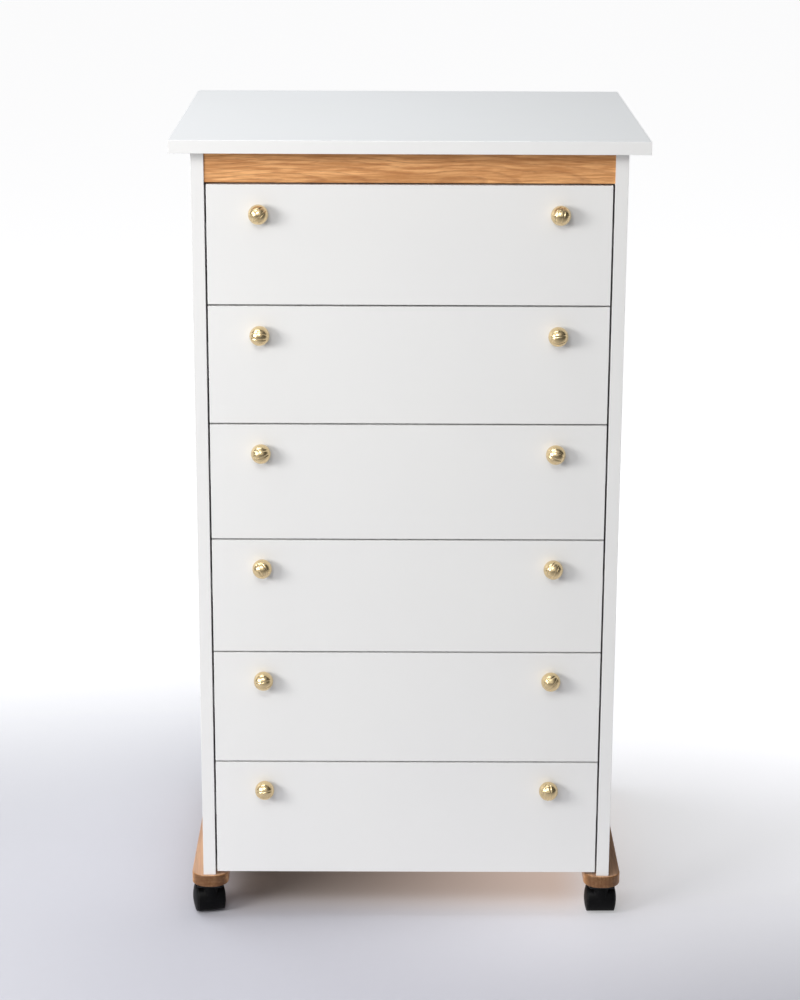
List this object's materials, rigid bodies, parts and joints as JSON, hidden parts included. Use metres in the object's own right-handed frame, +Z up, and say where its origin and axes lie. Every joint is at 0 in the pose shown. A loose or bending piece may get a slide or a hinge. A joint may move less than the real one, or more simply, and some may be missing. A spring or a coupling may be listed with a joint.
{
  "type": "tall chest of drawers",
  "caption": "Tall narrow white chest of drawers on casters, with an oak rail and oak runners, fluted brass ball knobs and full-extension drawer slides.",
  "frame": {"origin": "on the floor, below the middle of the top panel", "axes": "+Z up, +Y to the back, +X to the right; the drawers open towards -Y"},
  "size_m": [0.655, 0.56, 1.16],
  "materials": {
    "white_board": "satin melamine-faced board",
    "drawer_board": "satin melamine-faced board",
    "hardboard": "painted hardboard",
    "oak": "oiled solid oak",
    "beech": "plain turned wood",
    "brass": "satin",
    "zinc_steel": "zinc plated",
    "black_plastic": "satin moulded",
    "wheel_plastic": "satin moulded"
  },
  "bodies": {
    "carcass": {"top_panel": "white_board", "side_panel_left": "white_board", "side_panel_right": "white_board", "bottom_panel": "white_board", "rear_rail": "white_board", "back_panel": "hardboard", "front_rail": "oak", "runner_left": "oak", "runner_right": "oak", "dowels": "beech", "runner_screws": "zinc_steel", "caster_plates": "zinc_steel", "caster_screws": "zinc_steel", "slide_channels": "zinc_steel"},
    "drawer_1": {"drawer_1_front": "white_board", "drawer_1_box": "drawer_board", "drawer_1_knobs": "brass", "drawer_1_slide_inner": "zinc_steel"},
    "drawer_1_slide_middle": {"drawer_1_slide_middle": "zinc_steel"},
    "drawer_2": {"drawer_2_front": "white_board", "drawer_2_box": "drawer_board", "drawer_2_knobs": "brass", "drawer_2_slide_inner": "zinc_steel"},
    "drawer_2_slide_middle": {"drawer_2_slide_middle": "zinc_steel"},
    "drawer_3": {"drawer_3_front": "white_board", "drawer_3_box": "drawer_board", "drawer_3_knobs": "brass", "drawer_3_slide_inner": "zinc_steel"},
    "drawer_3_slide_middle": {"drawer_3_slide_middle": "zinc_steel"},
    "drawer_4": {"drawer_4_front": "white_board", "drawer_4_box": "drawer_board", "drawer_4_knobs": "brass", "drawer_4_slide_inner": "zinc_steel"},
    "drawer_4_slide_middle": {"drawer_4_slide_middle": "zinc_steel"},
    "drawer_5": {"drawer_5_front": "white_board", "drawer_5_box": "drawer_board", "drawer_5_knobs": "brass", "drawer_5_slide_inner": "zinc_steel"},
    "drawer_5_slide_middle": {"drawer_5_slide_middle": "zinc_steel"},
    "drawer_6": {"drawer_6_front": "white_board", "drawer_6_box": "drawer_board", "drawer_6_knobs": "brass", "drawer_6_slide_inner": "zinc_steel"},
    "drawer_6_slide_middle": {"drawer_6_slide_middle": "zinc_steel"},
    "caster_front_left": {"caster_front_left_hood": "black_plastic", "caster_front_left_axle": "zinc_steel"},
    "caster_front_left_wheel_left": {"caster_front_left_wheel_left": "wheel_plastic"},
    "caster_front_left_wheel_right": {"caster_front_left_wheel_right": "wheel_plastic"},
    "caster_front_right": {"caster_front_right_hood": "black_plastic", "caster_front_right_axle": "zinc_steel"},
    "caster_front_right_wheel_left": {"caster_front_right_wheel_left": "wheel_plastic"},
    "caster_front_right_wheel_right": {"caster_front_right_wheel_right": "wheel_plastic"},
    "caster_rear_left": {"caster_rear_left_hood": "black_plastic", "caster_rear_left_axle": "zinc_steel"},
    "caster_rear_left_wheel_left": {"caster_rear_left_wheel_left": "wheel_plastic"},
    "caster_rear_left_wheel_right": {"caster_rear_left_wheel_right": "wheel_plastic"},
    "caster_rear_right": {"caster_rear_right_hood": "black_plastic", "caster_rear_right_axle": "zinc_steel"},
    "caster_rear_right_wheel_left": {"caster_rear_right_wheel_left": "wheel_plastic"},
    "caster_rear_right_wheel_right": {"caster_rear_right_wheel_right": "wheel_plastic"}
  },
  "joints": [
    {"name": "drawer_1_slide", "type": "slide", "parent": "carcass", "child": "drawer_1", "axis": [0, -1, 0], "range_m": [0, 0.43]},
    {"name": "drawer_1_middle_slide", "type": "slide", "parent": "carcass", "child": "drawer_1_slide_middle", "axis": [0, -1, 0], "range_m": [0, 0.215]},
    {"name": "drawer_2_slide", "type": "slide", "parent": "carcass", "child": "drawer_2", "axis": [0, -1, 0], "range_m": [0, 0.43]},
    {"name": "drawer_2_middle_slide", "type": "slide", "parent": "carcass", "child": "drawer_2_slide_middle", "axis": [0, -1, 0], "range_m": [0, 0.215]},
    {"name": "drawer_3_slide", "type": "slide", "parent": "carcass", "child": "drawer_3", "axis": [0, -1, 0], "range_m": [0, 0.43]},
    {"name": "drawer_3_middle_slide", "type": "slide", "parent": "carcass", "child": "drawer_3_slide_middle", "axis": [0, -1, 0], "range_m": [0, 0.215]},
    {"name": "drawer_4_slide", "type": "slide", "parent": "carcass", "child": "drawer_4", "axis": [0, -1, 0], "range_m": [0, 0.43]},
    {"name": "drawer_4_middle_slide", "type": "slide", "parent": "carcass", "child": "drawer_4_slide_middle", "axis": [0, -1, 0], "range_m": [0, 0.215]},
    {"name": "drawer_5_slide", "type": "slide", "parent": "carcass", "child": "drawer_5", "axis": [0, -1, 0], "range_m": [0, 0.43]},
    {"name": "drawer_5_middle_slide", "type": "slide", "parent": "carcass", "child": "drawer_5_slide_middle", "axis": [0, -1, 0], "range_m": [0, 0.215]},
    {"name": "drawer_6_slide", "type": "slide", "parent": "carcass", "child": "drawer_6", "axis": [0, -1, 0], "range_m": [0, 0.43]},
    {"name": "drawer_6_middle_slide", "type": "slide", "parent": "carcass", "child": "drawer_6_slide_middle", "axis": [0, -1, 0], "range_m": [0, 0.215]},
    {"name": "caster_front_left_swivel", "type": "hinge", "parent": "carcass", "child": "caster_front_left", "pos_m": [-0.291, -0.2325, 0.045], "axis": [0, 0, 1], "continuous": true},
    {"name": "caster_front_left_wheel_left_spin", "type": "hinge", "parent": "caster_front_left", "child": "caster_front_left_wheel_left", "pos_m": [-0.29411, -0.22091, 0.02], "axis": [0.9659, 0.2588, 0], "continuous": true},
    {"name": "caster_front_left_wheel_right_spin", "type": "hinge", "parent": "caster_front_left", "child": "caster_front_left_wheel_right", "pos_m": [-0.29411, -0.22091, 0.02], "axis": [0.9659, 0.2588, 0], "continuous": true},
    {"name": "caster_front_right_swivel", "type": "hinge", "parent": "carcass", "child": "caster_front_right", "pos_m": [0.291, -0.2325, 0.045], "axis": [0, 0, 1], "continuous": true},
    {"name": "caster_front_right_wheel_left_spin", "type": "hinge", "parent": "caster_front_right", "child": "caster_front_right_wheel_left", "pos_m": [0.29079, -0.2205, 0.02], "axis": [0.9998, 0.0175, 0], "continuous": true},
    {"name": "caster_front_right_wheel_right_spin", "type": "hinge", "parent": "caster_front_right", "child": "caster_front_right_wheel_right", "pos_m": [0.29079, -0.2205, 0.02], "axis": [0.9998, 0.0175, 0], "continuous": true},
    {"name": "caster_rear_left_swivel", "type": "hinge", "parent": "carcass", "child": "caster_rear_left", "pos_m": [-0.291, 0.2305, 0.045], "axis": [0, 0, 1], "continuous": true},
    {"name": "caster_rear_left_wheel_left_spin", "type": "hinge", "parent": "caster_rear_left", "child": "caster_rear_left_wheel_left", "pos_m": [-0.28995, 0.24245, 0.02], "axis": [0.9962, -0.0872, 0], "continuous": true},
    {"name": "caster_rear_left_wheel_right_spin", "type": "hinge", "parent": "caster_rear_left", "child": "caster_rear_left_wheel_right", "pos_m": [-0.28995, 0.24245, 0.02], "axis": [0.9962, -0.0872, 0], "continuous": true},
    {"name": "caster_rear_right_swivel", "type": "hinge", "parent": "carcass", "child": "caster_rear_right", "pos_m": [0.291, 0.2305, 0.045], "axis": [0, 0, 1], "continuous": true},
    {"name": "caster_rear_right_wheel_left_spin", "type": "hinge", "parent": "caster_rear_right", "child": "caster_rear_right_wheel_left", "pos_m": [0.28975, 0.24243, 0.02], "axis": [0.9945, 0.1045, 0], "continuous": true},
    {"name": "caster_rear_right_wheel_right_spin", "type": "hinge", "parent": "caster_rear_right", "child": "caster_rear_right_wheel_right", "pos_m": [0.28975, 0.24243, 0.02], "axis": [0.9945, 0.1045, 0], "continuous": true}
  ],
  "couplings": [
    {"joint": "drawer_1_middle_slide", "follows": "drawer_1_slide", "ratio": 0.5},
    {"joint": "drawer_2_middle_slide", "follows": "drawer_2_slide", "ratio": 0.5},
    {"joint": "drawer_3_middle_slide", "follows": "drawer_3_slide", "ratio": 0.5},
    {"joint": "drawer_4_middle_slide", "follows": "drawer_4_slide", "ratio": 0.5},
    {"joint": "drawer_5_middle_slide", "follows": "drawer_5_slide", "ratio": 0.5},
    {"joint": "drawer_6_middle_slide", "follows": "drawer_6_slide", "ratio": 0.5}
  ]
}
